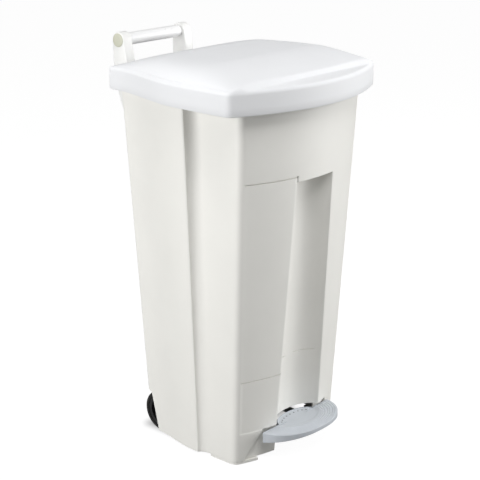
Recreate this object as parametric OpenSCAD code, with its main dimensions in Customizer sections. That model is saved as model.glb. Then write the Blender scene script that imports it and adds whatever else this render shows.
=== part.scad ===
// Wheeled pedal trash can, about 90 litres: tapered tub, domed lid, rear push handle,
// half-round foot pedal, under-floor lever and vertical push rod.
// +Z up, the pedal side faces -Y, millimetres. Origin on the floor under the
// centre of the overall box.

/* [Tub] */
// Height of the tub's rim
rim_z = 852; // [848:1:854]
// Half width of the side bulges just under the rim
bulge_x = 226; // [222:1:228]
// Half width of the side bulges at floor level
bulge_x0 = 190; // [186:1:192]
// Half width at the rear corners just under the rim
rear_x = 185; // [182:1:185]
// Half width between the front corners just under the rim
front_x = 205; // [198:1:206]
// Half width between the front corners at floor level
front_x0 = 178; // [172:1:179]
// Wall thickness
wall = 4; // [3:0.5:5]
// Height of the floor's upper face
floor_z = 118; // [117:1:120]
// Height of the tub's lower edge
edge_z = 6; // [5:0.5:8]
// Depth of the finger channel in the front wall
recess_d = 44; // [38:1:46]
// Height of the top of the front channel
recess_z = 648; // [620:1:680]

/* [Lid] */
// Height of the lid's outer edge
lid_z = 861; // [860:1:863]
// Depth of the lid's skirt
skirt_d = 48; // [44:1:50]
// Half width of the lid at its front corners
lid_x = 252; // [250:1:254]
// Half width of the lid at the hinge
lid_rear_x = 189; // [188:1:190]
// Rise of the dome above the lid's edge
dome_h = 38; // [34:1:40]
// Wall thickness of the lid
lid_t = 3.5; // [3:0.5:4]

/* [Handle] */
// Height of the grip's axis
grip_z = 907; // [900:1:912]
// Grip diameter
grip_d = 28; // [24:1:30]
// Outer width over the two arms
handle_w = 224; // [216:2:230]

/* [Wheels] */
// Wheel diameter
wheel_d = 100; // [96:1:100]
// Wheel width
wheel_w = 28; // [26:1:30]
// Axle diameter
axle_d = 12; // [10:1:12]

/* [Pedal] */
// Half width of the tread
pedal_x = 120; // [112:1:122]
// Height of the tread's top
pedal_z = 72; // [70:1:73]
// Diameter of the push rod
rod_d = 8; // [6:1:8]

/* [Hidden] */
$fn = 48;

hinge_y = 190; hinge_z = 842;          // lid hinge axis
grip_y = 252;                          // grip axis
axle_y = 98;  axle_z = wheel_d/2;      // wheel axle
piv_y = -45;  piv_z = 62;              // pedal lever pivot
rear_y0 = 122.6; rear_slope = 0.0636;  // rear wall: y = rear_y0 + slope * z
rod_a = atan(rear_slope);              // the rod is parallel to the rear wall
rod_y0 = 170 - rear_slope*824;         // rod axis: y = rod_y0 + slope * z
function rod_y(z) = rod_y0 + rear_slope*z;
function wall_y(z) = rear_y0 + rear_slope*z;

white = [0.93, 0.93, 0.91]; steel = [0.7, 0.71, 0.73]; grey = [0.68, 0.70, 0.72];
black = [0.12, 0.12, 0.12]; cream = [0.78, 0.78, 0.70];

// ---------- plan outlines ----------
function mix(a, b, t) = a + (b - a)*t;
function smooth(t) = t <= 0 ? 0 : t >= 1 ? 1 : t*t*(3 - 2*t);
// one half of a plan outline, from the rear centre round to the front centre
// yr rear y, xr rear half width, rc rear corner radius, xb bulge half width, ys step y,
// xs half width in front of the step, xc/yc front corner, s bow of the front,
// wr/dr rear channel half width and depth, w/d front channel half width and depth, fl flatness
function half_ring(yr, xr, rc, xb, ys, xs, xc, yc, s, wr, dr, w, d, fl) =
  let (fy = function(x) yc - s*(1 - (x/xc)*(x/xc)),
       y1 = yr - rc - 4, y2 = ys + 8,
       p2 = [xc - 13, fy(xc - 13)])
  concat(
    [for (f = [0, 0.45, 0.8, 0.94, 1]) [wr*f, yr - dr*(1 - pow(f, 8))]],
    [for (t = [0.5]) [mix(wr, xr - rc, t), yr]],
    [for (a = [90:-18:0]) [xr - rc + rc*cos(a), yr - rc + rc*sin(a)]],
    [for (t = [0.12:0.125:1]) [mix(xr, xb, smooth(t*1.0)), mix(y1, y2, t)]],
    [[xb, ys]],
    [for (a = [12, 35, 60, 85]) [xs + (xb - xs)*(1 - sin(a)), ys - 3 - 30*(1 - cos(a))]],
    [[mix(xs, xc, 0.35), mix(ys - 33, yc + 14, 0.5)]],
    [for (t = [0:0.2:1]) [(1-t)*(1-t)*xc + 2*t*(1-t)*xc + t*t*p2[0],
                          (1-t)*(1-t)*(yc + 13) + 2*t*(1-t)*(yc - 1) + t*t*p2[1]]],
    [for (t = [0.25:0.25:0.75]) let (x = mix(xc - 13, w, t)) [x, fy(x)]],
    [for (f = [1, 0.97, 0.88, 0.7, 0.48, 0.24]) let (x = w*f) [x, fy(x) + d*(1 - pow(f, fl))]],
    [[0, fy(0) + d]]);
function mirror_ring(h) = concat(h, [for (i = [len(h)-2:-1:1]) [-h[i][0], h[i][1]]]);
// tub outline at height z
function arch_w(z) = mix(160, 114, z/74);
function tub_ring(z, lower) = let (t = z/800)
  mirror_ring(half_ring(wall_y(z), mix(165, rear_x, t), 10, mix(bulge_x0, bulge_x, t), mix(-50, -48, t),
    mix(178, 199, t), mix(front_x0, front_x, t), mix(-152, -193, t), mix(42, 52, t), 24, 28,
    lower == 1 ? arch_w(z) : mix(77, 62, (z - 76)/(recess_z - 76)),
    lower == 1 ? 9 : lower == 2 ? recess_d : 0, lower == 1 ? 24 : 2.6));
// lid outline, also used inset for the tub's rim
function lid_ring(i, yr, dr) =
  mirror_ring(half_ring(yr, lid_rear_x - i, 10, lid_x - 6 - i, -66, lid_x - 3 - i, lid_x - i, -200 + i*0.8, 71 - i*0.2,
    24, dr, 60, 0, 2));
// inward offset of a closed ring
function unit(v) = v/max(norm(v), 1e-6);
function inset(r, t) = let (n = len(r)) [for (i = [0:n-1])
  let (a = r[(i + n - 1)%n], b = r[i], c = r[(i + 1)%n],
       e1 = unit(b - a), e2 = unit(c - b),
       n1 = [e1[1], -e1[0]], n2 = [e2[1], -e2[0]], m = unit(n1 + n2),
       k = max(0.5, n1*m)) b + m*t/k];
function lift(r, z) = [for (p = r) [p[0], p[1], z]];

// solid skinned over a list of rings; flat ends, or fans to a centre point
module skin(rings, fan = 0) {
  n = len(rings[0]); m = len(rings); last = (m - 1)*n;
  c0 = [0, -20, rings[0][0][2] + fan]; c1 = [0, -20, rings[m-1][0][2] + fan];
  polyhedron(points = concat([for (r = rings) each r], fan > 0 ? [c0, c1] : []),
    faces = concat(fan > 0 ? [for (i = [0:n-1]) [(i + 1)%n, i, m*n]] : [[for (i = [n-1:-1:0]) i]],
      [for (j = [0:m-2]) for (i = [0:n-1]) each
        let (a = j*n + i, b = j*n + (i + 1)%n, c = a + n, d = b + n) [[a, d, c], [a, b, d]]],
      fan > 0 ? [for (i = [0:n-1]) [last + i, last + (i + 1)%n, m*n + 1]] : [[for (i = [0:n-1]) last + i]]),
    convexity = 8);
}

module xcyl(x1, x2, y, z, r) translate([min(x1, x2), y, z]) rotate([0, 90, 0]) cylinder(r = r, h = abs(x2 - x1));

// ---------- tub ----------
module tub() color(white) difference() {
  resize([0, 0, 0]) tub_shell();
  // screw holes
  for (sx = [-1, 1], z = [625, 745]) rear_hole(sx*98.5, z, 2.6);
  for (sx = [-1, 1], z = [200, 700]) rear_hole(sx*33, z, 2.1);
}
// tapered shell with its floor, and its openings at the pedal, the lever and the wheels
module tub_shell() difference() {
  skin(concat(
    [for (z = [floor_z - wall, 76]) lift(inset(tub_ring(z, 2), wall), z)],
    [for (z = [74, edge_z]) lift(inset(tub_ring(z, 1), wall), z)],
    [for (z = [edge_z, 74]) lift(tub_ring(z, 1), z)],
    [for (z = [76, 220, 430, recess_z - 1]) lift(tub_ring(z, 2), z)],
    [for (z = [recess_z + 1, 804]) lift(tub_ring(z, 0), z)],
    [lift(lid_ring(10, 178, 30), 832), lift(lid_ring(9, 178, 30), rim_z - 2), lift(lid_ring(11, 177, 30), rim_z)],
    [lift(inset(lid_ring(11, 177, 30), 6), rim_z), lift(inset(lid_ring(11, 177, 30), 8), 838)],
    [for (z = [806, recess_z + 8]) lift(inset(tub_ring(z, 0), wall), z)],
    [for (z = [recess_z - 4, 430, 220, floor_z]) lift(inset(tub_ring(z, 2), wall), z)]));
  // pedal opening
  translate([-69.6, -300, -3]) cube([139.2, 161.3, 80.4]);
  // lever and rod opening at the rear
  translate([-27, 84, -1]) cube([54, 80, 111]);
  // wheel openings
  for (sx = [-1, 1]) translate([sx*145, 0, 0]) rotate([90, 0, 90])
    translate([0, 0, -30]) linear_extrude(60) polygon([[93, -1], [112, 92], [118, 103], [160, 103], [160, -1]]);
}
module rear_hole(x, z, r) translate([x, wall_y(z), z]) rotate([-90 - rod_a, 0, 0]) translate([0, 0, -12]) cylinder(r = r, h = 24);

function flip(r, s) = [for (p = r) [s*p[0], p[1]]];
module strip(r1, r2, i1, i2, s) polygon(flip(concat([for (i = [i1:i2]) r1[i]], [for (i = [i2:-1:i1]) r2[i]]), s));
module front_foot(s) color(white) {
  r = tub_ring(edge_z, 0);
  linear_extrude(edge_z - 0.1) strip(inset(r, 1), inset(r, 10.5), 24, 33, s);
  translate([0, 0, edge_z - 0.2]) linear_extrude(14) strip(inset(r, 4.4), inset(r, 8), 26, 30, s);
}
module front_foot_left() front_foot(-1);
module front_foot_right() front_foot(1);

// ---------- lid ----------
function lid_w(y) = y > 171 ? lid_rear_x : y < -58 ? lid_x - 2 : mix(lid_rear_x, lid_x - 6, smooth((171 - y)/229));
function clamp(t) = min(1, max(0, t));
function front_y(x) = -200 - 71*(1 - pow(x/lid_x, 2));
// crown over the front: a low margin along the front edge, then a step up to the crowned panel
function crown(x, y) = let (t = y - front_y(x), m = 46*max(0, 1 - pow(x/232, 2)), lo = 2 + 4*clamp(t/50),
    hi = dome_h*(0.36 + 0.64*(1 - pow(1 - clamp((t - m)/130), 1.5)))) mix(lo, max(lo, hi), smooth((t - m + 4)/8));
function dome(x, y) = (1 - pow(1 - clamp((209 - y)/159), 1.4))*crown(x, y)*(1 - pow(min(1, abs(x)/lid_w(y)), 8));
function dome_ring(k, dz) = let (r = lid_ring(9, 200, 0)) [for (p = r)
    let (x = p[0]*k, y = -20 + (p[1] + 20)*k) [x, y, lid_z + 1.5 + dome(x, y) - dz]];
CROWN = [0.14, 0.34, 0.54, 0.7, 0.82, 0.9, 0.955, 0.985];
module lid_boss(x, y, r) translate([x, y, 857]) cylinder(r = r, h = lid_z + 1.5 + dome(x, y) - 1.6 - 857);
module lid() color(white) difference() {
  union() {
    skin(concat(
      [for (k = CROWN) dome_ring(k, lid_t)],
      [lift(inset(lid_ring(0, 209, 0), lid_t), lid_z - 8)],
      [lift(inset(lid_ring(0, 209, 0), lid_t), lid_z - skirt_d), lift(lid_ring(0, 209, 0), lid_z - skirt_d)],
      [lift(lid_ring(0, 209, 0), lid_z - 6), lift(inset(lid_ring(0, 209, 0), 2), lid_z - 1.5)],
      [dome_ring(1, 0)], [for (i = [len(CROWN)-1:-1:0]) dome_ring(CROWN[i], 0)]), 1.5);
    for (s = [-1, 1], x = [118, 156]) lid_boss(s*x, 164, 5);
    for (x = [-14, 14]) lid_boss(x, lug_y - 8, 3.4);
  }
  // rear skirt cut short, so that the lid can swing
  translate([-183, 199, 790]) cube([366, 20, 60]);
  for (s = [-1, 1], x = [118, 156]) translate([s*x, 164, 850]) cylinder(r = 2.2, h = 16);
  for (x = [-14, 14]) translate([x, lug_y - 8, 850]) cylinder(r = 1.7, h = 16);
}
// knuckles moulded as lugs and screwed under the lid's rear edge
module lid_knuckles(s) color(white) {
  difference() {
    union() {
      for (x = [[106, 125.6], [150.4, 168]]) {
        xcyl(s*x[0], s*x[1], hinge_y, hinge_z, 8.5);
        translate([min(s*x[0], s*x[1]), hinge_y - 8.5, hinge_z]) cube([abs(x[1] - x[0]), 12, 15]);
      }
      translate([s*137 - 31, 152, 853.6]) cube([62, 41, 3.3]);
    }
    xcyl(s*100, s*175, hinge_y, hinge_z, 4.06);
    for (x = [118, 156]) translate([s*x, 164, 840]) cylinder(r = 2.2, h = 30);
  }
}
module lid_knuckles_left() lid_knuckles(-1);
module lid_knuckles_right() lid_knuckles(1);
// lug that the push rod lifts, with its cross pin
lug_y = hinge_y - 21.4; lug_z = hinge_z - 18;
module lid_lift_lug() color(white) difference() {
  union() {
    for (x = [-11, 5.4]) translate([x, 0, 0]) rotate([90, 0, 90]) linear_extrude(5.6)
      polygon([[lug_y - 6, lug_z - 5], [lug_y + 6, lug_z - 5], [lug_y + 9, 856.9], [lug_y - 9, 856.9]]);
    translate([-18, lug_y - 14, 853.6]) cube([36, 23, 3.3]);
  }
  xcyl(-12, 12, lug_y, lug_z, 3.05);
  for (x = [-14, 14]) translate([x, lug_y - 8, 845]) cylinder(r = 1.7, h = 20);
}
module lift_pin() color(steel) { xcyl(-12.5, 12.5, lug_y, lug_z, 3); for (x = [-14, 12.5]) xcyl(x, x + 1.5, lug_y, lug_z, 4.4); }
module pan_screw(l, r, hr, hh) { translate([0, 0, -l]) cylinder(r = r, h = l + 0.1); translate([0, 0, 0]) cylinder(r1 = hr, r2 = hr*0.75, h = hh, $fn = 32); }
module lid_screws() color(steel) {
  for (s = [-1, 1], x = [118, 156]) translate([s*x, 164, 853.5]) rotate([180, 0, 0]) pan_screw(11, 2.1, 4, 2.2);
  for (x = [-14, 14]) translate([x, lug_y - 8, 853.5]) rotate([180, 0, 0]) pan_screw(11, 1.6, 2.8, 1.8);
}

// hinge bracket on the tub's rear wall
module at_wall(x, z) translate([x, wall_y(z), z]) rotate([-90 - rod_a, 0, 0]) children();
module hinge_bracket(s) color(white) difference() {
  union() {
    xcyl(s*126, s*150, hinge_y, hinge_z, 8.5);
    translate([s*138 - 12, 0, 0]) rotate([90, 0, 90]) linear_extrude(24)
      polygon([[wall_y(764) + 0.2, 764], [wall_y(804) + 0.2, 804], [178.6, 829], [178.6, 840], [hinge_y, 850], [hinge_y + 8, 840], [hinge_y + 4, 812], [wall_y(764) + 8, 764]]);
  }
  xcyl(s*100, s*175, hinge_y, hinge_z, 4);
  at_wall(s*138, 776) cylinder(r = 2.2, h = 60, center = true);
  at_wall(s*138, 794) cylinder(r = 2.2, h = 60, center = true);
  at_wall(s*138, 776) translate([0, 0, 10.1]) cylinder(r = 4.8, h = 20);
  at_wall(s*138, 794) translate([0, 0, 14.5]) cylinder(r = 4.8, h = 20);
}
module hinge_bracket_left() hinge_bracket(-1);
module hinge_bracket_right() hinge_bracket(1);
module hinge_pin(s) color(steel) { xcyl(s*104, s*170, hinge_y, hinge_z, 4); xcyl(s*101.5, s*104, hinge_y, hinge_z, 6); }
module hinge_pin_left() hinge_pin(-1);
module hinge_pin_right() hinge_pin(1);
module hinge_screws() color(steel) for (s = [-1, 1]) {
  at_wall(s*138, 776) translate([0, 0, 10.2]) pan_screw(9.8, 2.1, 4, 2.2);
  at_wall(s*138, 794) translate([0, 0, 14.6]) pan_screw(14.2, 2.1, 4, 2.2);
}

// ---------- handle ----------
arm_w = 27;
module handle_arm(s) color(white) {
  x0 = s > 0 ? handle_w/2 - arm_w : -handle_w/2;
  difference() {
    union() {
      xcyl(x0, x0 + arm_w, grip_y, grip_z, 19);
      translate([x0, 0, 0]) rotate([90, 0, 90]) linear_extrude(arm_w)
        polygon([[wall_y(592) + 0.3, 592], [wall_y(784) + 0.3, 784], [186, 794], [206, 800], [219.5, 815], [223.5, 850],
          [grip_y - 18.5, grip_z - 2], [grip_y, grip_z + 17], [grip_y + 18.6, grip_z - 2], [269, 856], [264, 812],
          [250, 768], [228, 718], [204, 668], [184, 628], [172, 600], [169, 592]]);
    }
    xcyl(x0 - 1, x0 + arm_w + 1, grip_y, grip_z, 9.05);
    for (z = [625, 745]) rear_bolt(s*(handle_w/2 - arm_w/2), z);
  }
}
// clearance hole and head pocket for an arm screw
module rear_bolt(x, z) at_wall(x, z) { translate([0, 0, -1]) cylinder(r = 2.7, h = 12); translate([0, 0, 10]) cylinder(r = 6, h = 90); }
module handle_arm_left() handle_arm(-1);
module handle_arm_right() handle_arm(1);
module handle_grip() color(white) difference() {
  union() {
    xcyl(-handle_w/2 + arm_w, handle_w/2 - arm_w, grip_y, grip_z, grip_d/2);
    xcyl(-handle_w/2 + 1, handle_w/2 - 1, grip_y, grip_z, 9);
  }
  xcyl(-handle_w/2, handle_w/2, grip_y, grip_z, 6.5);
}
module grip_cap(s) color(cream) {
  xcyl(s*handle_w/2, s*(handle_w/2 + 2.6), grip_y, grip_z, 15.5);
  xcyl(s*(handle_w/2 - 9), s*handle_w/2, grip_y, grip_z, 6.4);
}
module grip_cap_left() grip_cap(-1);
module grip_cap_right() grip_cap(1);
module handle_screws() color(steel) for (s = [-1, 1], z = [625, 745])
  at_wall(s*(handle_w/2 - arm_w/2), z) translate([0, 0, 10]) pan_screw(20, 2.5, 5, 3);

// ---------- push rod ----------
module along_rod(z) translate([0, rod_y(z), z]) rotate([-rod_a, 0, 0]) children();
module rod_guide(z) color(white) difference() {
  translate([0, wall_y(z), z]) rotate([-rod_a, 0, 0]) union() {
    translate([-42, 0.2, -14]) cube([84, 4, 28]);
    translate([-13, -12, -10]) cube([26, 13, 20]);
  }
  along_rod(z - 30) cylinder(r = rod_d/2 + 0.08, h = 60);
  for (x = [-33, 33]) at_wall(x, z) cylinder(r = 2.2, h = 20, center = true);
}
module rod_guide_upper() rod_guide(700);
module rod_guide_lower() rod_guide(200);
module rod_guide_screws() color(steel) for (x = [-33, 33], z = [200, 700]) at_wall(x, z) translate([0, 0, 4.3]) pan_screw(9, 2, 3.8, 2);
module push_rod() color(steel) along_rod(86) cylinder(r = rod_d/2, h = 716);
// slotted yoke that carries the lid's lift pin
module rod_yoke() color(black) difference() {
  union() {
    along_rod(790) cylinder(r = 7.5, h = 16);
    translate([-4.8, lug_y - 17, 802]) cube([9.6, 30, 31.5]);
  }
  along_rod(780) cylinder(r = rod_d/2, h = 22.2);
  for (y = [-8.5, 1.5]) xcyl(-6, 6, lug_y + y, lug_z, 4);
  translate([-6, lug_y - 8.5, lug_z - 4]) cube([12, 10, 8]);
}
// fork at the foot of the rod, over the lever's tongue
clv_y = 121.7; clv_z = 64;
module rod_clevis() color(black) difference() {
  union() {
    along_rod(84) cylinder(r = 7.5, h = 22);
    for (x = [-10, 4.6]) translate([x, clv_y - 15, clv_z - 7]) cube([5.4, 23, 26]);
    translate([-10, clv_y - 13, 80]) cube([20, 21, 8]);
  }
  along_rod(86) cylinder(r = rod_d/2, h = 30);
  for (y = [-7.1, 0.3]) xcyl(-12, 12, clv_y + y, clv_z, 3.5);
  translate([-12, clv_y - 7.1, clv_z - 3.5]) cube([24, 7.4, 7]);
}

// ---------- pedal and lever ----------
function tread_y(x) = -180 - 85*sqrt(max(0, 1 - pow(abs(x)/pedal_x, 2.3)));
module tread_plan(o = 0) {
  polygon(concat([for (x = [-pedal_x + o:(2*pedal_x - 2*o)/40:pedal_x - o + 0.01]) [x, min(tread_y(x) + o, -186 - 2*o)]],
    [[pedal_x - o, -184 - o], [64 - o, -189 - o]],
    [for (a = [0:15:180]) [(62 - o)*cos(a), -189 - o + (32 - o)*sin(a)]],
    [[-64 + o, -189 - o], [-pedal_x + o, -184 - o]]));
}
module pedal() color(grey) difference() {
  union() {
    difference() {
      translate([0, 0, pedal_z - 26]) linear_extrude(24.5) tread_plan();
      // wedge under the front lip
      translate([-150, 0, 0]) rotate([90, 0, 90]) linear_extrude(300) polygon([[-150, pedal_z - 40], [-150, pedal_z - 27.5], [-190, pedal_z - 25], [-268, pedal_z - 10], [-280, pedal_z - 40]]);
      // hollow underside
      translate([0, 0, pedal_z - 60]) linear_extrude(54) tread_plan(4);
    }
    translate([0, 0, pedal_z - 1.5]) linear_extrude(1.5) tread_plan(1.5);
    // boss plate over the lever's foot
    translate([-46, -232, pedal_z - 9]) cube([92, 62, 4]);
  }
  for (x = [-26, 26], y = [-214, -187]) translate([x, y, pedal_z - 14]) cylinder(r = 2.1, h = 10);
  // notch in the rear skirt for the lever's side plates
  translate([-41, -177, pedal_z - 30]) cube([82, 30, 23]);
}
module pedal_screws() color(steel) for (x = [-26, 26], y = [-214, -187]) translate([x, y, pedal_z - 14.3]) rotate([180, 0, 0]) pan_screw(9, 2, 4, 2.2);
module pedal_lever() color(steel) difference() {
  union() {
    translate([-45, -230, pedal_z - 14.2]) cube([90, 51, 5]);
    for (x = [-38, 33]) translate([x, 0, 0]) rotate([90, 0, 90]) linear_extrude(5)
      polygon([[-228, 62.9], [-228, 57], [-160, 50], [-60, 50], [-30, 50], [60, 60], [78, 62], [96, 62], [96, 72], [60, 72], [-30, 74], [-60, 74], [-120, 66], [-168, 62.9]]);
    translate([-38, 84, 62]) cube([76, 12, 10]);
    translate([-4, 90, 60]) cube([8, 40, 9]);
    xcyl(-38, 38, piv_y, piv_z, 10);
  }
  xcyl(-60, 60, piv_y, piv_z, 7);
  xcyl(-20, 20, clv_y, clv_z, 3.05);
  for (x = [-26, 26], y = [-214, -187]) translate([x, y, pedal_z - 20]) cylinder(r = 2.2, h = 15);
}
module lever_bush(s) color(black) difference() {
  union() { xcyl(s*22, s*38, piv_y, piv_z, 7); xcyl(s*38, s*40.5, piv_y, piv_z, 10); }
  xcyl(-60, 60, piv_y, piv_z, 5.06);
}
module lever_bush_left() lever_bush(-1);
module lever_bush_right() lever_bush(1);
module clevis_pin() color(steel) { xcyl(-12, 12, clv_y, clv_z, 3); for (x = [-13.5, 12]) xcyl(x, x + 1.5, clv_y, clv_z, 5); }
module lever_bracket(s) color(white) difference() {
  union() {
    translate([s*45 - 4, piv_y - 16, 46]) cube([8, 32, floor_z - wall - 46.1]);
    translate([s*56 - 15, piv_y - 16, floor_z - wall - 4.1]) cube([30, 32, 4]);
  }
  xcyl(s*35, s*55, piv_y, piv_z, 5);
  for (y = [-10, 10]) translate([s*61, piv_y + y, 100]) cylinder(r = 2.2, h = 20);
}
module lever_bracket_left() lever_bracket(-1);
module lever_bracket_right() lever_bracket(1);
module lever_pivot_rod() color(steel) { xcyl(-52, 52, piv_y, piv_z, 5); for (x = [-54, 52]) xcyl(x, x + 2, piv_y, piv_z, 7.5); }
module axle_bracket(s) color(white) difference() {
  union() {
    translate([s*105 - 5, axle_y - 18, 36]) cube([10, 36, floor_z - wall - 36.1]);
    translate([s*92 - 20, axle_y - 18, floor_z - wall - 4.1]) cube([40, 24, 4]);
  }
  xcyl(s*95, s*115, axle_y, axle_z, axle_d/2);
  translate([s*105 - 8, axle_y + 8, 100]) cube([16, 20, 20]);
  for (y = [-10, 0]) translate([s*82, axle_y + y, 100]) cylinder(r = 2.2, h = 20);
}
module axle_bracket_left() axle_bracket(-1);
module axle_bracket_right() axle_bracket(1);
module bracket_screws() color(steel) for (s = [-1, 1]) {
  for (y = [-10, 10]) translate([s*61, piv_y + y, floor_z - wall - 4.2]) rotate([180, 0, 0]) pan_screw(4, 2.1, 4, 2.2);
  for (y = [-10, 0]) translate([s*82, axle_y + y, floor_z - wall - 4.2]) rotate([180, 0, 0]) pan_screw(4, 2.1, 4, 2.2);
}

// ---------- wheels ----------
wx = 128;
module wheel_axle() color(steel) xcyl(-wx - wheel_w - 2, wx + wheel_w + 2, axle_y, axle_z, axle_d/2);
module axle_cap(s) color(steel) difference() {
  xcyl(s*(wx + wheel_w + 0.4), s*(wx + wheel_w + 3.2), axle_y, axle_z, 10);
  xcyl(s*(wx + wheel_w), s*(wx + wheel_w + 2), axle_y, axle_z, axle_d/2);
}
module axle_cap_left() axle_cap(-1);
module axle_cap_right() axle_cap(1);
// hub with a rib-edged web, turned about the axle
module wheel_hub(s) color(black) translate([s*wx, axle_y, axle_z]) rotate([0, s*90, 0]) difference() {
  rotate_extrude($fn = 72) polygon([[2, 0.4], [12, 0.4], [12, 10], [32, 10], [32, 3], [wheel_d/2 - 9, 3], [wheel_d/2 - 9, wheel_w - 3],
    [32, wheel_w - 3], [32, wheel_w - 10], [12, wheel_w - 10], [12, wheel_w], [2, wheel_w]]);
  translate([0, 0, -1]) cylinder(r = axle_d/2 + 0.08, h = wheel_w + 2);
  for (a = [0:60:300]) rotate(a) translate([22, 0, -1]) cylinder(r = 5.5, h = wheel_w + 2);
}
module wheel_hub_left() wheel_hub(-1);
module wheel_hub_right() wheel_hub(1);
module tyre(s) color(black) translate([s*wx, axle_y, axle_z]) rotate([0, s*90, 0])
  rotate_extrude($fn = 96) polygon([[wheel_d/2 - 9, 1], [wheel_d/2 - 3, 1], [wheel_d/2 - 0.9, 3], [wheel_d/2, 7], [wheel_d/2, wheel_w - 7],
    [wheel_d/2 - 0.9, wheel_w - 3], [wheel_d/2 - 3, wheel_w - 1], [wheel_d/2 - 9, wheel_w - 1]]);
module tyre_left() tyre(-1);
module tyre_right() tyre(1);

tub();
front_foot_left();
front_foot_right();
lid();
lid_knuckles_left();
lid_knuckles_right();
lid_lift_lug();
lift_pin();
lid_screws();
hinge_bracket_left();
hinge_bracket_right();
hinge_pin_left();
hinge_pin_right();
hinge_screws();
handle_arm_left();
handle_arm_right();
handle_grip();
grip_cap_left();
grip_cap_right();
handle_screws();
rod_guide_upper();
rod_guide_lower();
rod_guide_screws();
push_rod();
rod_yoke();
rod_clevis();
pedal();
pedal_lever();
pedal_screws();
lever_bush_left();
lever_bush_right();
clevis_pin();
lever_bracket_left();
lever_bracket_right();
lever_pivot_rod();
bracket_screws();
axle_bracket_left();
axle_bracket_right();
wheel_axle();
axle_cap_left();
axle_cap_right();
wheel_hub_left();
wheel_hub_right();
tyre_left();
tyre_right();
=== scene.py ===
import math
import bpy, bmesh
import numpy as np
from mathutils import Vector, Matrix


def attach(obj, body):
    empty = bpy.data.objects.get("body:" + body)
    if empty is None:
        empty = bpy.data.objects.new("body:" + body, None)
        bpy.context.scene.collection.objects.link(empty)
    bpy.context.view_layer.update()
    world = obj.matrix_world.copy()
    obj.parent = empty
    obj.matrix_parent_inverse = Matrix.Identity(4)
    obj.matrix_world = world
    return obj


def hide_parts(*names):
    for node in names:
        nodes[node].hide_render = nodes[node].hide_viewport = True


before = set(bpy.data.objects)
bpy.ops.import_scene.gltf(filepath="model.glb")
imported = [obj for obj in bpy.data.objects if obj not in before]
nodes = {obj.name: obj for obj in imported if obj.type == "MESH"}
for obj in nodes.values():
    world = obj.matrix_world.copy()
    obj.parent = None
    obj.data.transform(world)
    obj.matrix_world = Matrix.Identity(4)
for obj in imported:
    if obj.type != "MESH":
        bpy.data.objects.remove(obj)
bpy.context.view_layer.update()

MM = 0.001

# ------------------------------------------------------------------ camera
cam_data = bpy.data.cameras.new("camera")
cam = bpy.data.objects.new("camera", cam_data)
bpy.context.scene.collection.objects.link(cam)
pitch, yaw = math.radians(17.5), math.radians(49.4)
view_dir = Vector((math.sin(yaw) * math.cos(pitch), math.cos(yaw) * math.cos(pitch), -math.sin(pitch)))
cam.location = (-2.1692, -1.8750, 1.3616)
cam.rotation_mode = "QUATERNION"
cam.rotation_quaternion = view_dir.to_track_quat("-Z", "Y")
cam_data.sensor_width = 36.0
cam_data.lens = 36.0 * 1301.0 / 480.0
cam_data.clip_start, cam_data.clip_end = 0.05, 60.0
bpy.context.scene.camera = cam

# ------------------------------------------------------------------ materials
def new_mat(name):
    m = bpy.data.materials.new(name)
    m.use_nodes = True
    nt = m.node_tree
    nt.nodes.clear()
    out = nt.nodes.new("ShaderNodeOutputMaterial")
    bsdf = nt.nodes.new("ShaderNodeBsdfPrincipled")
    nt.links.new(bsdf.outputs[0], out.inputs[0])
    return m, nt, bsdf

def noise(nt, coord, scale, detail=3.0, rough=0.5):
    n = nt.nodes.new("ShaderNodeTexNoise")
    n.inputs["Scale"].default_value = scale
    n.inputs["Detail"].default_value = detail
    n.inputs["Roughness"].default_value = rough
    nt.links.new(coord, n.inputs["Vector"])
    return n

def ramp(nt, src, stops):
    r = nt.nodes.new("ShaderNodeValToRGB")
    el = r.color_ramp.elements
    el[0].position, el[0].color = stops[0][0], (*stops[0][1], 1)
    el[1].position, el[1].color = stops[-1][0], (*stops[-1][1], 1)
    for p, c in stops[1:-1]:
        e = el.new(p)
        e.color = (*c, 1)
    nt.links.new(src, r.inputs["Fac"])
    return r

def span(nt, src, a, b, lo=0.3, hi=0.7):
    r = nt.nodes.new("ShaderNodeMapRange")
    r.inputs["From Min"].default_value, r.inputs["From Max"].default_value = lo, hi
    r.inputs["To Min"].default_value, r.inputs["To Max"].default_value = a, b
    nt.links.new(src, r.inputs["Value"])
    return r

def lin(c):
    return tuple(((v / 255) / 12.92 if v / 255 <= 0.04045 else ((v / 255 + 0.055) / 1.055) ** 2.4) for v in c)

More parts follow.
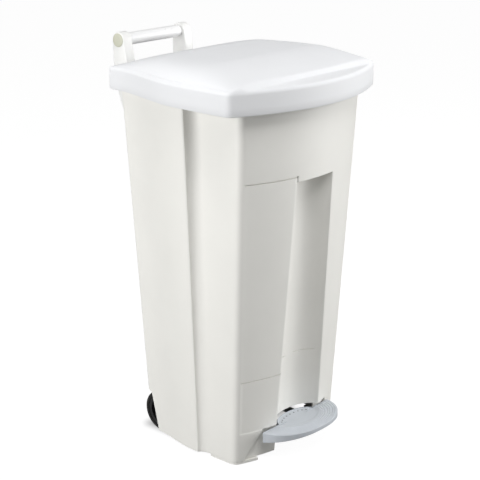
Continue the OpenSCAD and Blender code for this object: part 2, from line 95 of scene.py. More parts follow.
def plastic(name, rgb, rough=(0.34, 0.46), grain=900, bump=0.10, vary=0.025, scuff=0.0, spec=0.5, sss=0.0, tint=(1, 1, 1)):
    """Moulded plastic: cloudy tone, orange-peel grain, faint flow streaks, and scuffs where scuff is above 0."""
    m, nt, b = new_mat(name)
    tc = nt.nodes.new("ShaderNodeTexCoord")
    co = tc.outputs["Object"]
    base = lin(rgb)
    dark = tuple(v * (1 - vary) * t for v, t in zip(base, tint))
    lite = tuple(min(1, v * (1 + vary * 0.6)) for v in base)
    cloud = noise(nt, co, 7.0, 4.0, 0.55)
    r = ramp(nt, cloud.outputs["Fac"], [(0.32, dark), (0.5, base), (0.68, lite)])
    col = r.outputs["Color"]
    if scuff > 0:
        sc = noise(nt, co, 38.0, 6.0, 0.72)
        sr = span(nt, sc.outputs["Fac"], 0.0, scuff, 0.60, 0.74)
        geo = nt.nodes.new("ShaderNodeSeparateXYZ")
        nt.links.new(co, geo.inputs[0])
        low = span(nt, geo.outputs["Z"], 1.0, 0.15, 0.0, 0.14)
        mul = nt.nodes.new("ShaderNodeMath"); mul.operation = "MULTIPLY"
        nt.links.new(sr.outputs[0], mul.inputs[0]); nt.links.new(low.outputs[0], mul.inputs[1])
        mx = nt.nodes.new("ShaderNodeMix"); mx.data_type = "RGBA"
        nt.links.new(mul.outputs[0], mx.inputs["Factor"])
        nt.links.new(col, mx.inputs[6])
        mx.inputs[7].default_value = (*[v * 0.62 for v in base], 1)
        col = mx.outputs[2]
    nt.links.new(col, b.inputs["Base Color"])
    rn = noise(nt, co, 55.0, 4.0, 0.6)
    rr = span(nt, rn.outputs["Fac"], rough[0], rough[1])
    nt.links.new(rr.outputs[0], b.inputs["Roughness"])
    fine = noise(nt, co, grain, 2.0, 0.5)
    wave = noise(nt, co, 22.0, 2.0, 0.5)
    b1 = nt.nodes.new("ShaderNodeBump"); b1.inputs["Strength"].default_value = bump; b1.inputs["Distance"].default_value = 0.0004
    b2 = nt.nodes.new("ShaderNodeBump"); b2.inputs["Strength"].default_value = 0.05; b2.inputs["Distance"].default_value = 0.002
    nt.links.new(fine.outputs["Fac"], b1.inputs["Height"])
    nt.links.new(wave.outputs["Fac"], b2.inputs["Height"])
    nt.links.new(b2.outputs[0], b1.inputs["Normal"])
    nt.links.new(b1.outputs[0], b.inputs["Normal"])
    b.inputs["Specular IOR Level"].default_value = spec
    b.inputs["IOR"].default_value = 1.49
    if sss > 0:
        b.inputs["Subsurface Weight"].default_value = sss
        b.inputs["Subsurface Radius"].default_value = (0.006, 0.005, 0.004)
        b.inputs["Subsurface Scale"].default_value = 1.0
    return m

def metal(name, rgb, rough=(0.22, 0.38), stretch=(1, 1, 1), scale=260):
    m, nt, b = new_mat(name)
    tc = nt.nodes.new("ShaderNodeTexCoord")
    mp = nt.nodes.new("ShaderNodeMapping")
    mp.inputs["Scale"].default_value = stretch
    nt.links.new(tc.outputs["Object"], mp.inputs[0])
    n1 = noise(nt, mp.outputs[0], scale, 4.0, 0.6)
    base = lin(rgb)
    r = ramp(nt, n1.outputs["Fac"], [(0.3, tuple(v * 0.82 for v in base)), (0.7, base)])
    nt.links.new(r.outputs["Color"], b.inputs["Base Color"])
    rr = span(nt, n1.outputs["Fac"], rough[0], rough[1])
    nt.links.new(rr.outputs[0], b.inputs["Roughness"])
    b.inputs["Metallic"].default_value = 1.0
    bp = nt.nodes.new("ShaderNodeBump"); bp.inputs["Strength"].default_value = 0.12; bp.inputs["Distance"].default_value = 0.0002
    nt.links.new(n1.outputs["Fac"], bp.inputs["Height"])
    nt.links.new(bp.outputs[0], b.inputs["Normal"])
    return m

def rubber(name, rgb):
    m, nt, b = new_mat(name)
    tc = nt.nodes.new("ShaderNodeTexCoord")
    base = lin(rgb)
    n1 = noise(nt, tc.outputs["Object"], 60.0, 6.0, 0.7)
    r = ramp(nt, n1.outputs["Fac"], [(0.35, base), (0.62, tuple(v * 1.5 + 0.004 for v in base)), (0.8, tuple(v * 2.2 + 0.012 for v in base))])
    nt.links.new(r.outputs["Color"], b.inputs["Base Color"])
    rr = span(nt, n1.outputs["Fac"], 0.62, 0.86)
    nt.links.new(rr.outputs[0], b.inputs["Roughness"])
    n2 = noise(nt, tc.outputs["Object"], 700.0, 3.0, 0.6)
    bp = nt.nodes.new("ShaderNodeBump"); bp.inputs["Strength"].default_value = 0.3; bp.inputs["Distance"].default_value = 0.0003
    nt.links.new(n2.outputs["Fac"], bp.inputs["Height"])
    nt.links.new(bp.outputs[0], b.inputs["Normal"])
    b.inputs["Specular IOR Level"].default_value = 0.3
    return m

M_TUB = plastic("tub_white", (243, 242, 237), (0.40, 0.52), 850, 0.12, 0.018, scuff=0.10)
M_LID = plastic("lid_white", (238, 239, 241), (0.55, 0.65), 950, 0.08, 0.012, spec=0.25)
M_ARM = plastic("arm_white", (243, 243, 241), (0.34, 0.44), 950, 0.08, 0.015)
M_GRIP = plastic("grip_white", (246, 246, 246), (0.26, 0.34), 1100, 0.04, 0.012)
M_PEDAL = plastic("pedal_grey", (196, 201, 207), (0.42, 0.56), 700, 0.16, 0.05, scuff=0.25)
M_CREAM = plastic("cap_cream", (206, 206, 188), (0.34, 0.44), 1000, 0.06, 0.03)
M_BLACK = plastic("black_plastic", (38, 38, 39), (0.36, 0.5), 800, 0.12, 0.10)
M_WHITE = plastic("bracket_white", (238, 238, 234), (0.38, 0.5), 900, 0.10, 0.02)
# Dark grey that paints the shade of the pedal tread's pits.
M_PIT_SHADE = plastic("pit_painted_shade", (92, 96, 102), (0.6, 0.75), 600, 0.1, 0.05)
M_STEEL = metal("zinc_steel", (196, 199, 203))
M_RODX = metal("drawn_rod", (200, 202, 205), (0.2, 0.32), (0.04, 1, 1), 420)
M_RODZ = metal("drawn_push_rod", (200, 202, 205), (0.2, 0.32), (1, 1, 0.04), 420)
M_LEVER = metal("pressed_steel", (178, 181, 184), (0.34, 0.5), (1, 0.2, 1), 200)
M_TYRE = rubber("tyre_rubber", (34, 34, 33))

def set_mat(o, m):
    o.data.materials.clear()
    o.data.materials.append(m)

SLOT = {}
for n, o in nodes.items():
    if n in ("push_rod",): m = M_RODZ
    elif n in ("wheel_axle", "lever_pivot_rod", "hinge_pin_left", "hinge_pin_right", "lift_pin", "clevis_pin"): m = M_RODX
    elif "screws" in n or n.startswith("axle_cap"): m = M_STEEL
    elif n == "pedal_lever": m = M_LEVER
    elif n.startswith("tyre"): m = M_TYRE
    elif n.startswith("wheel_hub") or n in ("rod_yoke", "rod_clevis") or n.startswith("lever_bush"): m = M_BLACK
    elif n.startswith("grip_cap"): m = M_CREAM
    elif n == "handle_grip": m = M_GRIP
    elif n.startswith("front_foot"): m = M_TUB
    elif n == "pedal": m = M_PEDAL
    elif n == "lid": m = M_LID
    elif n in ("tub",): m = M_TUB
    else: m = M_WHITE
    set_mat(o, m)

# ------------------------------------------------------------------ helpers
def mix(a, b, t): return a + (b - a) * t
def clamp(t): return np.clip(t, 0.0, 1.0)
def smooth(t):
    t = clamp(t)
    return t * t * (3 - 2 * t)

def make(name, verts, faces, mat, scale=MM):
    me = bpy.data.meshes.new(name)
    me.from_pydata([tuple(v) for v in np.asarray(verts, float) * scale], [], [tuple(f) for f in faces])
    me.validate()
    me.update()
    o = bpy.data.objects.new(name, me)
    bpy.context.scene.collection.objects.link(o)
    me.materials.append(mat)
    return o

def soften(o, angle=32):
    o.data.polygons.foreach_set("use_smooth", [True] * len(o.data.polygons))
    o.data.set_sharp_from_angle(angle=math.radians(angle))
    o.data.update()

def fan(R3, ctr, ks=(0.97, 0.85, 0.6, 0.3, 0.06)):
    """Rings that close a ring towards a centre point, nearest the ring first."""
    c = np.array([ctr[0], ctr[1]])
    return [np.concatenate([c + (R3[:, :2] - c) * k, R3[:, 2:3]], 1) for k in ks]

def loft(rings, fan0=None, fan1=None):
    """Closed skin over a list of rings with the same number of points."""
    if fan0 is not None: rings = fan(rings[0], fan0)[::-1] + list(rings)
    if fan1 is not None: rings = list(rings) + fan(rings[-1], fan1)
    n, m = len(rings[0]), len(rings)
    V = np.concatenate(rings, 0)
    F = []
    for j in range(m - 1):
        a = j * n
        for i in range(n):
            k = (i + 1) % n
            F.append((a + i, a + k, a + n + k, a + n + i))
    F.append(tuple(range(n - 1, -1, -1)))
    F.append(tuple((m - 1) * n + i for i in range(n)))
    return V, F

def apply_bool(o, cutter, op="DIFFERENCE"):
    md = o.modifiers.new("cut", "BOOLEAN")
    md.operation = op
    md.object = cutter
    try:
        md.solver = "MANIFOLD"
    except Exception:
        md.solver = "EXACT"
    dg = bpy.context.evaluated_depsgraph_get()
    me = bpy.data.meshes.new_from_object(o.evaluated_get(dg))
    if len(me.polygons) < 10:
        md.solver = "EXACT"
        dg = bpy.context.evaluated_depsgraph_get()
        me = bpy.data.meshes.new_from_object(o.evaluated_get(dg))
    o.modifiers.clear()
    old = o.data
    o.data = me
    bpy.data.meshes.remove(old)
    cm = cutter.data
    bpy.data.objects.remove(cutter)
    bpy.data.meshes.remove(cm)

def box_mesh(name, lo, hi, mat, bevel=0.0, seg=3):
    bm = bmesh.new()
    bmesh.ops.create_cube(bm, size=1)
    for v in bm.verts:
        v.co = Vector([(lo[i] + hi[i]) / 2 + v.co[i] * (hi[i] - lo[i]) for i in range(3)]) * MM
    if bevel > 0:
        bmesh.ops.bevel(bm, geom=bm.edges[:], offset=bevel * MM, segments=seg, profile=0.5, affect="EDGES")
    me = bpy.data.meshes.new(name); bm.to_mesh(me); bm.free()
    o = bpy.data.objects.new(name, me)
    bpy.context.scene.collection.objects.link(o)
    me.materials.append(mat)
    return o

def extrude_x(name, poly, x0, x1, mat, bevel=0.0, seg=4):
    """Polygon in (y, z) extruded along x, with rounded edges."""
    bm = bmesh.new()
    a = [bm.verts.new((x0 * MM, p[0] * MM, p[1] * MM)) for p in poly]
    b = [bm.verts.new((x1 * MM, p[0] * MM, p[1] * MM)) for p in poly]
    n = len(poly)
    fa = bm.faces.new(a[::-1]); fb = bm.faces.new(b)
    for i in range(n):
        bm.faces.new((a[i], a[(i + 1) % n], b[(i + 1) % n], b[i]))
    bmesh.ops.recalc_face_normals(bm, faces=bm.faces[:])
    if bevel > 0:
        rim = [e for e in bm.edges if (fa in e.link_faces) or (fb in e.link_faces)]
        bmesh.ops.bevel(bm, geom=rim, offset=bevel * MM, segments=seg, profile=0.5, affect="EDGES")
    me = bpy.data.meshes.new(name); bm.to_mesh(me); bm.free()
    o = bpy.data.objects.new(name, me)
    bpy.context.scene.collection.objects.link(o)
    me.materials.append(mat)
    return o

def revolve(name, prof, origin, axis, mat, n=64):
    """Profile of (along, radius) pairs turned about an axis through origin; closed at both ends on the axis."""
    axis = Vector(axis).normalized()
    u = axis.orthogonal().normalized(); w = axis.cross(u)
    V, F = [], []
    for (t, r) in prof:
        for i in range(n):
            a = 2 * math.pi * i / n
            V.append((Vector(origin) + axis * t + (u * math.cos(a) + w * math.sin(a)) * r)[:])
    m = len(prof)
    for j in range(m - 1):
        for i in range(n):
            k = (i + 1) % n
            F.append((j * n + i, j * n + k, (j + 1) * n + k, (j + 1) * n + i))
    F.append(tuple(range(n - 1, -1, -1)))
    F.append(tuple((m - 1) * n + i for i in range(n)))
    return make(name, V, F, mat)

def join(a, others):
    bm = bmesh.new()
    bm.from_mesh(a.data)
    for o in others:
        bm.from_mesh(o.data)
    bm.to_mesh(a.data)
    bm.free()
    for o in others:
        me = o.data
        bpy.data.objects.remove(o); bpy.data.meshes.remove(me)

# ------------------------------------------------------------------ plan outlines (mm), as in the CAD source
def wall_y(z): return 122.6 + 0.0636 * z
ROD_A = math.atan(0.0636)

def lid_bow(x): return -200 - 71 * (1 - (x / 252.0) ** 2)

def gauss_ring(P, sigma):
    """Rounds a closed ring's corners: every point becomes the weighted mean of the outline near it."""
    n = len(P)
    seg = np.linalg.norm(np.roll(P, -1, 0) - P, axis=1)
    s = np.concatenate([[0], np.cumsum(seg)])
    L = s[-1]
    m = int(L / 0.6)
    t = np.arange(m) * L / m
    X = np.interp(t, s, np.append(P[:, 0], P[0, 0])); Y = np.interp(t, s, np.append(P[:, 1], P[0, 1]))
    h = int(3 * sigma / (L / m)) + 1
    k = np.exp(-0.5 * ((np.arange(-h, h + 1) * L / m) / sigma) ** 2); k /= k.sum()
    def conv(a):
        e = np.concatenate([a[-h:], a, a[:h]])
        return np.convolve(e, k, "valid")
    Xs, Ys = conv(X), conv(Y)
    return np.stack([np.interp(s[:-1], np.append(t, L), np.append(Xs, Xs[0])), np.interp(s[:-1], np.append(t, L), np.append(Ys, Ys[0]))], 1)

def half_outline(yr, xr, rc, xb, ys, xs, xc, yc, s, wr, dr, w, depth, w2, depth2):
    """Half outline, rear centre -> front centre, x >= 0. depth(x) is cut into the front, w and w2 place the columns."""
    fy = lambda x: yc - s * (1 - (x / xc) ** 2)
    y1, y2 = yr - rc - 4, ys + 8
    pts = []
    for f in [0, .15, .3, .45, .6, .7, .78, .85, .9, .94, .97, .99, 1.0]:
        pts.append((wr * f, yr - dr * (1 - f ** 8)))
    for t in np.linspace(0.06, 0.96, 12): pts.append((mix(wr, xr - rc, t), yr))
    for a in np.linspace(90, 0, 10): pts.append((xr - rc + rc * math.cos(math.radians(a)), yr - rc + rc * math.sin(math.radians(a))))
    for t in np.linspace(0.04, 1.0, 44): pts.append((mix(xr, xb, float(smooth(t))), mix(y1, y2, t)))
    for t in (0.4, 0.75, 0.92): pts.append((xb, mix(y2, ys, t)))
    pts.append((xb, ys))
    for a in np.linspace(4, 88, 18):
        a = math.radians(a); pts.append((xs + (xb - xs) * (1 - math.sin(a)), ys - 3 - 30 * (1 - math.cos(a))))
    for t in np.linspace(0.08, 0.94, 14): pts.append((mix(xs, xc, t ** 1.05), mix(ys - 33, yc + 13, t)))
    p2 = (xc - 13, fy(xc - 13))
    for t in np.linspace(0, 1, 12): pts.append(((1 - t) ** 2 * xc + 2 * t * (1 - t) * xc + t * t * p2[0], (1 - t) ** 2 * (yc + 13) + 2 * t * (1 - t) * (yc - 1) + t * t * p2[1]))
    for t in np.linspace(0.1, 1.0, 9):
        x = mix(xc - 13, w2 + 0.7, t); pts.append((x, fy(x) + depth2(x)))
    for t in np.linspace(0.0, 1.0, 14):
        x = mix(w2 - 0.9, w + 0.5, t); pts.append((x, fy(x) + depth2(x)))
    for f in [1, .985, .96, .93, .89, .84, .78, .71, .64, .56, .48, .4, .32, .24, .16, .08]:
        x = w * f; pts.append((x, fy(x) + max(depth(f), depth2(x))))
    pts.append((0.0, fy(0) + max(depth(0.0), depth2(0.0))))
    return np.array(pts)

def mirror(h):
    return np.concatenate([h, h[-2:0:-1] * np.array([-1, 1])], 0)

def tub_ring(z, sig=1.3, chan=None, arch=None):
    t = z / 800.0
    if chan is None: chan = 44.0 if 76 <= z <= 647 else 0.0
    if arch is None: arch = 9.0 if z < 75 else 0.0
    wc = mix(77, 62, (max(z, 76) - 76) / (648.0 - 76)) if z < 700 else 62 - (z - 700) * 0.0
    wa = mix(160, 114, min(z, 74) / 74.0)
    d1 = lambda f: chan * (1 - abs(f) ** 2.6)
    d2 = lambda x: arch if abs(x) < wa else 0.0
    h = half_outline(wall_y(z), mix(165, 185, t), 10, mix(190, 226, t), mix(-50, -48, t), mix(178, 199, t),
                     mix(178, 205, t), mix(-152, -193, t), mix(42, 52, t), 24, 28, wc, d1, wa, d2)
    return gauss_ring(mirror(h), sig)

def lid_outline(i, yr, dr, sig=1.0):
    h = half_outline(yr, 189 - i, 10, 246 - i, -66, 249 - i, 252 - i, -200 + i * 0.8, 71 - i * 0.2, 24, dr, 62, lambda f: 0.0, 114, lambda x: 0.0)
    R = mirror(h)
    W = gauss_ring(R, 14.0)
    k = smooth((150 - R[:, 1]) / 40) * smooth((R[:, 1] + 190) / 40)
    S = gauss_ring(R, sig)
    return S + (W - S) * k[:, None]

def inset(R, d):
    e1 = R - np.roll(R, 1, 0); e2 = np.roll(R, -1, 0) - R
    e1 /= np.maximum(np.linalg.norm(e1, axis=1), 1e-9)[:, None]; e2 /= np.maximum(np.linalg.norm(e2, axis=1), 1e-9)[:, None]
    m = e1 + e2; m /= np.maximum(np.linalg.norm(m, axis=1), 1e-9)[:, None]
    nrm = np.stack([m[:, 1], -m[:, 0]], 1)
    return R + nrm * d

def at(R, z):
    z = np.full(len(R), z) if np.isscalar(z) else z
    return np.concatenate([R, z[:, None]], 1)

# ------------------------------------------------------------------ tub
WALL = 4.0
def seam_cut(R, z):
    """Small steps and grooves moulded into the left front panel and the channel."""
    x, y = R[:, 0], R[:, 1]
    t = z / 800.0
    front = y < mix(-152, -193, t) - 1.0
    g = np.zeros(len(R))
    left = front & (x < 0)
    wc = mix(77, 62, (max(z, 76) - 76) / 572.0)
    panel = left & (x < -wc + 0.5) & (x > -(mix(178, 205, t) - 11))
    # seams across the left panel
    lv = 0.0
    for zs, wd, dp, st in ((660.0, 2.2, 2.6, 0.7), (203.0, 1.8, 2.0, 0.5)):
        if z <= zs: lv += st
        if zs - wd <= z <= zs: g = np.where(panel, lv + dp, g)
    g = np.where(panel, np.maximum(g, lv), g)
    chan = front & (np.abs(x) < wc * 0.86)
    if 217.4 <= z <= 219.0: g = np.where(chan, np.maximum(g, 1.8), g)
    # short jog between the upper seam and the channel's corner
    if 646 < z < 661: g = np.where(front & (np.abs(x + 62.0) < 1.3), np.maximum(g, 2.2), g)
    R = R.copy(); R[:, 1] += g
    return R

EDGE = 6.0
zs_outer = [6.0, 6.5, 7.6, 10, 18, 26, 34, 42, 50, 58, 66, 71, 73.2, 74.0]
zs_mid = sorted(set([76.4, 77.2, 80, 88, 100, 115, 130, 150, 170, 190, 198, 200.9, 201.2, 203, 203.3, 206, 213, 217.1, 217.4, 219, 219.3, 222, 240]
        + list(range(260, 640, 20)) + [636, 642, 645.5, 646.6]))
zs_up = sorted(set([648.4, 649.4, 652, 656, 657.5, 657.8, 660, 660.3, 662, 668, 680] + list(range(700, 800, 20)) + [800, 810]))
def rnd(R, z, b=1.4, z0=6.0):
    # rounded lower lip
    k = (z - z0) / b
    return inset(R, b * (1 - math.sqrt(max(0.0, 1 - (1 - min(1, k)) ** 2)))) if k < 1 else R

rings = []
R0 = lambda z, **k: tub_ring(z, 5.0, **k)
for z in (114, 95, 80, 76.2): rings.append(at(inset(R0(z, chan=44.0, arch=0), WALL), z))
for z in (73.8, 60, 40, 20, 7.0): rings.append(at(inset(R0(z, chan=0.0, arch=9.0), WALL), z))
rings.append(at(inset(tub_ring(6.0, 3.0), WALL - 0.9), 6.0))
for z in zs_outer: rings.append(at(rnd(tub_ring(z), z), z))
for z in zs_mid: rings.append(at(seam_cut(tub_ring(z, 1.1), z), z))
rings.append(at(seam_cut(tub_ring(647.2, 1.1, chan=43.0), 647.2), 647.2))
rings.append(at(seam_cut(tub_ring(647.6, 1.1, chan=1.2), 647.6), 647.6))
for z in zs_up: rings.append(at(seam_cut(tub_ring(z, 1.1, chan=0.0), z), z))
C = lambda i, yr=178, dr=30, s=1.3: lid_outline(i, yr, dr, s)
T810 = tub_ring(810, 1.3, chan=0.0)
for f, z in ((0.06, 812.5), (0.25, 817), (0.55, 823), (0.85, 829), (1.0, 833)): rings.append(at(mix(T810, C(10), f), z))
for i, z in ((9.6, 842), (9.3, 849), (9.6, 850.8), (10.4, 851.7), (11.4, 852.0)): rings.append(at(C(i), z))
for i, z in ((15.6, 852.0), (16.6, 851.5), (17.2, 850.3), (18.0, 838.0)): rings.append(at(C(i, 178, 30, 3.0), z))
for z in (812, 800, 780, 760, 740, 720, 700, 680, 665, 656): rings.append(at(inset(R0(z, chan=0.0), WALL), z))
for z in (644, 620, 580, 540, 500, 460, 420, 380, 340, 300, 260, 220, 180, 150, 128, 122, 119, 118): rings.append(at(inset(R0(z, chan=44.0), WALL + (0 if z > 123 else (123 - z) * 0.5)), z))
V, F = loft(rings, (0, -20), (0, -20))
tub = make("tub_shell", V, F, M_TUB)
cuts = [
    box_mesh("c1", (-69.6, -300, -20), (69.6, -138.7, 77.4), M_TUB, 0.0),
    box_mesh("c2", (-27, 84, -20), (27, 164, 110), M_TUB, 2.0, 3),
]
wheel_poly = [(93, -20), (93, -1), (94.5, 8), (112, 90), (113.6, 97), (116.5, 101.2), (121, 103), (170, 103), (170, -20)]
for s in (-1, 1):
    cuts.append(extrude_x("cw", wheel_poly, s * 145 - 30, s * 145 + 30, M_TUB))
for c in cuts:
    apply_bool(tub, c)
soften(tub, 34)
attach(tub, "tub_body"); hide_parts("tub")

# ------------------------------------------------------------------ lid
LZ = 861.0
_L = lid_outline(0, 209, 0, 1.2)
_q = _L[(_L[:, 0] > 186) & (_L[:, 1] < 196) & (_L[:, 1] > -196)]
_q = _q[np.argsort(_q[:, 1])]
def lid_w(y):
    return np.interp(y, _q[:, 1], _q[:, 0]) - 2.0
def crown(x, y):
    t = y - lid_bow(x)
    m = 46 * np.maximum(0, 1 - (x / 232.0) ** 2)
    lo = 2 + 4 * clamp(t / 50)
    hi = 38 * (0.36 + 0.64 * (1 - (1 - clamp((t - m) / 130)) ** 1.5))
    return mix(lo, np.maximum(lo, hi), smooth((t - m + 4) / 8))
def dome(x, y):
    return (1 - (1 - clamp((209 - y) / 159)) ** 1.4) * crown(x, y) * (1 - np.minimum(1, np.abs(x) / lid_w(y)) ** 8)
def ztop(R): return LZ + 1.5 + dome(R[:, 0], R[:, 1])

L0 = lid_outline(0, 209, 0, 1.2)
SH = 6.0
rings = []
base5 = inset(L0, SH)
ctr = np.array([0.0, -30.0])
ks = list(np.linspace(1.0, 0.70, 27)) + list(np.linspace(0.67, 0.07, 19))
for k in ks[::-1]:
    R = ctr + (base5 - ctr) * k
    rings.append(at(R, ztop(R) - 3.4))
for dz, i in ((-6.0, 3.6), (-20.0, 3.5), (-47.0, 3.5)): rings.append(at(inset(L0, i), LZ + dz))
for z, i in ((813.3, 3.0), (813.0, 2.4), (813.0, 1.1), (813.35, 0.4), (814.2, 0.0), (830, 0.0), (848, 0.0), (855.5, 0.0)): rings.append(at(inset(L0, i), z))
for a in np.linspace(8, 82, 9):
    a = math.radians(a)
    R = inset(L0, SH * (1 - math.cos(a)))
    rings.append(at(R, 855.5 + (ztop(R) - 855.5) * math.sin(a)))
def groove(R, k):
    d = 6 + (1 - k) * 235
    side = smooth((np.abs(R[:, 0]) / lid_w(R[:, 1]) - 0.86) / 0.08) * smooth((R[:, 1] + 206) / 40)
    return 2.2 * side * math.exp(-((d - 8.0) / 2.4) ** 2)
for k in ks:
    R = ctr + (base5 - ctr) * k
    rings.append(at(R, ztop(R) - groove(R, k)))
V, F = loft(rings)
lid = make("lid_shell", V, F, M_LID)
apply_bool(lid, box_mesh("c3", (-183, 199, 780), (183, 240, 850), M_LID))
boss = []
for x, y, r in [(sx * bx, 164, 5) for sx in (-1, 1) for bx in (118, 156)] + [(-14, 160.6, 3.4), (14, 160.6, 3.4)]:
    zt = float(LZ + 1.5 + dome(np.array([x]), np.array([y]))[0] - 1.6)
    boss.append(revolve("boss", [(0, r - 0.5), (0.5, r), (zt - 857, r)], (x, y, 857), (0, 0, 1), M_LID, 32))
join(lid, boss)
soften(lid, 40)
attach(lid, "lid"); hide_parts("lid")

# ------------------------------------------------------------------ handle arms
GY, GZ = 252.0, 907.0
prof = [(wall_y(592) + 0.3, 592), (wall_y(784) + 0.3, 784), (186, 794), (206, 800), (219.5, 815), (223.5, 850)]
arc = [(GY + 19 * math.cos(math.radians(a)), GZ + 19 * math.sin(math.radians(a))) for a in np.linspace(186, -6, 26)]
back = [(269, 856), (264, 812), (250, 768), (228, 718), (204, 668), (184, 628), (172, 600), (169, 592)]
def resample(poly, step=6.0, sharp=4):
    out = []
    for a, b in zip(poly, poly[1:] + poly[:1]):
        d = math.dist(a, b); n = max(1, int(d / step))
        for i in range(n): out.append((mix(a[0], b[0], i / n), mix(a[1], b[1], i / n)))
    return out
def round_poly(poly, sigma, keep=lambda p: False):
    P = np.array(resample(poly, 3.0))
    Q = gauss_ring(P, sigma)
    return [tuple(p) if keep(p) else tuple(q) for p, q in zip(P, Q)]
arm_poly = round_poly(prof + arc + back, 5.0, keep=lambda p: p[1] < 640 and p[0] < wall_y(p[1]) + 2 or p[0] < wall_y(p[1]) + 1.0)
for s, nm in ((-1, "left"), (1, "right")):
    x0 = 112 - 27 if s > 0 else -112
    arm = extrude_x("handle_arm_shell_" + nm, arm_poly, x0, x0 + 27, M_ARM, 3.2, 4)
    for z in (625, 745):
        yw = wall_y(z)
        ax = Vector((0, math.cos(ROD_A), -math.sin(ROD_A)))
        c = Vector((s * 98.5, yw, z)) + ax * 10
        cutter = revolve("c", [(0, 6), (110, 6)], c, ax, M_ARM, 32)
        apply_bool(arm, cutter)
    soften(arm, 38)
    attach(arm, "tub_body"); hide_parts("handle_arm_" + nm)

# grip tube with a soft shoulder against each arm, and domed end caps
grip = revolve("grip_tube", [(1, 8.6), (2, 9), (26, 9), (27.0, 9), (27.0, 13.2), (27.6, 13.8), (28.6, 14.0), (195.4, 14.0), (196.4, 13.8), (197.0, 13.2), (197.0, 9), (198, 9), (222, 9), (223, 8.6)],
               (-112, GY, GZ), (1, 0, 0), M_GRIP, 72)
soften(grip, 40)
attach(grip, "tub_body"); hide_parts("handle_grip")
for s, nm in ((-1, "left"), (1, "right")):
    cap = revolve("grip_plug_" + nm, [(-9, 5.8), (-8, 6.4), (0, 6.4), (0, 15.2), (0.4, 15.5), (1.2, 15.4), (1.9, 14.7), (2.35, 13.0), (2.5, 9.0), (2.6, 3.0)],
                  (s * 112, GY, GZ), (s, 0, 0), M_CREAM, 64)
    soften(cap, 40)
    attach(cap, "tub_body"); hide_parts("grip_cap_" + nm)

# ------------------------------------------------------------------ pedal
PX, PZ = 120.0, 72.0
def tread_front(x): return np.minimum(-180 - 85 * np.sqrt(np.maximum(0, 1 - (np.abs(x) / PX) ** 2.3)), -187.0)
def pedal_outline():
    xf = PX * np.sin(np.linspace(-math.pi / 2, math.pi / 2, 90))
    front = [(x, float(tread_front(x))) for x in xf]                      # left -> right along the front
    rear = [(PX, -184.5)] + [(mix(PX, 64, t), mix(-184.2, -189, t)) for t in np.linspace(0.1, 1, 10)]
    rear += [(62 * math.cos(math.radians(a)), -189 + 32 * math.sin(math.radians(a))) for a in np.linspace(4, 176, 44)]
    rear += [(-mix(64, PX, t), mix(-189, -184.2, t)) for t in np.linspace(0, 0.9, 10)] + [(-PX, -184.5)]
    return gauss_ring(np.array(front + rear)[::-1], 1.6)                  # clockwise from above, like the other rings
P0 = pedal_outline()
PC = np.array([0.0, -190.0])
def under(y): return np.where(y > -190, PZ - 26, PZ - 25 + (-190 - y) / 78.0 * 15.0)
def pscale(k): return PC + (P0 - PC) * k
rings = []
Pi = inset(P0, 4.0)
rings.append(at(Pi, 66.0)); rings.append(at(Pi, under(Pi[:, 1]) + 0.4)); 
rings.append(at(inset(P0, 3.4), under(inset(P0, 3.4)[:, 1])))
rings.append(at(inset(P0, 0.6), under(inset(P0, 0.6)[:, 1])))
rings.append(at(P0, under(P0[:, 1]) + 0.7))
rings.append(at(P0, 69.2))
for a in np.linspace(15, 90, 6):
    a = math.radians(a)
    rings.append(at(inset(P0, 1.6 * (1 - math.cos(a))), 69.2 + 1.6 * math.sin(a)))
# tread: ribs follow the front edge, with a smooth oval dish behind them
def tread_z(R, k):
    x, y = R[:, 0], R[:, 1]
    z = np.full(len(R), 70.8)
    rib = 0.5 + 0.5 * np.cos((k - 0.95) / 0.062 * 2 * math.pi)
    band = smooth((0.985 - k) / 0.02) * smooth((k - 0.57) / 0.03)
    front = smooth((-186.5 - y) / 3.0)
    z = z + 1.2 * rib ** 1.5 * band * front
    e = (x / 68.0) ** 2 + ((y + 192) / 36.0) ** 2
    z = z - 2.4 * smooth((1.0 - e) / 0.28)
    return np.minimum(z, 72.0)
for k in np.concatenate([np.linspace(0.984, 0.56, 72), np.linspace(0.53, 0.03, 18)]):
    R = pscale(k)
    rings.append(at(R, tread_z(R, k)))
V, F = loft(rings)
pedal = make("pedal_tread", V, F, M_PEDAL)
apply_bool(pedal, box_mesh("c4", (-41, -177, 42), (41, -147, 65), M_PEDAL))
# underside boss plate over the lever foot
plate = box_mesh("plate", (-46, -232, 63), (46, -170, 67.5), M_PEDAL, 0.8, 2)
join(pedal, [plate])
# Dark grey discs set flush into the tread stand for its pits: painted shade, not cut holes.
pits = []
for i, a in enumerate(np.linspace(150, 30, 9)):
    px, py = 52 * math.cos(math.radians(a)), -193 + 25 * math.sin(math.radians(a)) 
    zz = float(tread_z(np.array([[px, py]]), 0.5)[0])
    pits.append(revolve("pit", [(-0.6, 1.9), (0.05, 1.9), (0.12, 1.5)], (px, py, zz), (0, 0, 1), M_PIT_SHADE, 20))
pit = pits[0]; join(pit, pits[1:]); pit.name = "tread_pit_painted_shade"
soften(pedal, 36); soften(pit, 40)
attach(pedal, "pedal"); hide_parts("pedal")
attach(pit, "pedal")

# ------------------------------------------------------------------ smooth shading of the carried-over nodes
for n, o in nodes.items():
    if not o.hide_render:
        o.data.polygons.foreach_set("use_smooth", [True] * len(o.data.polygons))

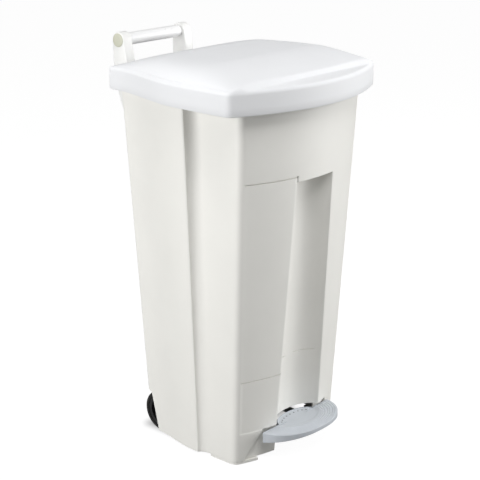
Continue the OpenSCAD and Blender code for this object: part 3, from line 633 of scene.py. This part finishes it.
# ------------------------------------------------------------------ stage and light
bm = bmesh.new()
bmesh.ops.create_grid(bm, x_segments=2, y_segments=2, size=30)
me = bpy.data.meshes.new("floor"); bm.to_mesh(me); bm.free()
floor = bpy.data.objects.new("floor", me)
bpy.context.scene.collection.objects.link(floor)
floor.location.z = -0.0004
fm = bpy.data.materials.new("floor_white_painted_shadow")
fm.use_nodes = True
nt = fm.node_tree
nt.nodes.clear()
out = nt.nodes.new("ShaderNodeOutputMaterial")
seen = nt.nodes.new("ShaderNodeBsdfPrincipled")
seen.inputs["Base Color"].default_value = (0.12, 0.12, 0.12, 1)
seen.inputs["Roughness"].default_value = 1.0
seen.inputs["Specular IOR Level"].default_value = 0.0
seen.inputs["Emission Color"].default_value = (1, 1, 1, 1)
def arith(op, a, b=None):
    n = nt.nodes.new("ShaderNodeMath"); n.operation = op
    for i, v in enumerate((a, b)):
        if v is None: continue
        if isinstance(v, (int, float)): n.inputs[i].default_value = v
        else: nt.links.new(v, n.inputs[i])
    return n.outputs[0]
# The floor the camera sees glows white, dimmed from 0.95 to 0.36 over the bin's footprint: a painted contact shadow,
# laid over the real shade of the diffuse part.
fc = nt.nodes.new("ShaderNodeTexCoord")
xyz = nt.nodes.new("ShaderNodeSeparateXYZ")
nt.links.new(fc.outputs["Object"], xyz.inputs[0])
dx = arith("MAXIMUM", arith("SUBTRACT", arith("ABSOLUTE", xyz.outputs["X"]), 0.130), 0.0)
dy = arith("MAXIMUM", arith("SUBTRACT", arith("ABSOLUTE", arith("SUBTRACT", xyz.outputs["Y"], 0.045)), 0.090), 0.0)
dist = arith("SQRT", arith("ADD", arith("MULTIPLY", dx, dx), arith("MULTIPLY", dy, dy)))
painted_shadow_glow = nt.nodes.new("ShaderNodeMapRange"); painted_shadow_glow.interpolation_type = "SMOOTHSTEP"
painted_shadow_glow.inputs["From Min"].default_value, painted_shadow_glow.inputs["From Max"].default_value = 0.0, 0.045
painted_shadow_glow.inputs["To Min"].default_value, painted_shadow_glow.inputs["To Max"].default_value = 0.36, 0.95
nt.links.new(dist, painted_shadow_glow.inputs["Value"])
nt.links.new(painted_shadow_glow.outputs[0], seen.inputs["Emission Strength"])
lit = nt.nodes.new("ShaderNodeBsdfDiffuse")
lit.inputs["Color"].default_value = (0.24, 0.24, 0.235, 1)
path = nt.nodes.new("ShaderNodeLightPath")
mixs = nt.nodes.new("ShaderNodeMixShader")
nt.links.new(path.outputs["Is Camera Ray"], mixs.inputs[0])
nt.links.new(lit.outputs[0], mixs.inputs[1])
nt.links.new(seen.outputs[0], mixs.inputs[2])
nt.links.new(mixs.outputs[0], out.inputs[0])
me.materials.append(fm)

w = bpy.data.worlds.new("studio")
bpy.context.scene.world = w
w.use_nodes = True
nt = w.node_tree
nt.nodes.clear()
out = nt.nodes.new("ShaderNodeOutputWorld")
bg = nt.nodes.new("ShaderNodeBackground")
bg.inputs["Color"].default_value = (1.0, 1.0, 1.0, 1)
bg.inputs["Strength"].default_value = 0.24
nt.links.new(bg.outputs[0], out.inputs[0])

def area(name, way, dist, size, level, color=(1, 1, 1), at_z=0.5):
    """Soft box that gives a white face turned to it the value level."""
    d = bpy.data.lights.new(name, "AREA")
    d.shape = "RECTANGLE"; d.size, d.size_y = size
    d.energy = level * math.pi ** 2 * dist ** 2; d.color = color
    o = bpy.data.objects.new(name, d)
    bpy.context.scene.collection.objects.link(o)
    way = Vector(way).normalized()
    o.location = Vector((0, 0, at_z)) + way * dist
    o.rotation_mode = "QUATERNION"
    o.rotation_quaternion = (-way).to_track_quat("-Z", "Y")
    return o
area("soft_key", (-0.25, -0.5, 0.83), 3.3, (1.5, 1.5), 0.42)
area("soft_left", (-0.95, 0.30, 0.06), 3.2, (1.8, 2.2), 0.85)
area("soft_right", (0.74, -0.65, 0.16), 3.2, (1.6, 2.2), 0.70)
area("soft_top", (0.10, 0.15, 1.0), 3.2, (2.4, 2.4), 0.17)

bpy.context.scene.view_settings.view_transform = "Standard"
bpy.context.scene.view_settings.look = "None"
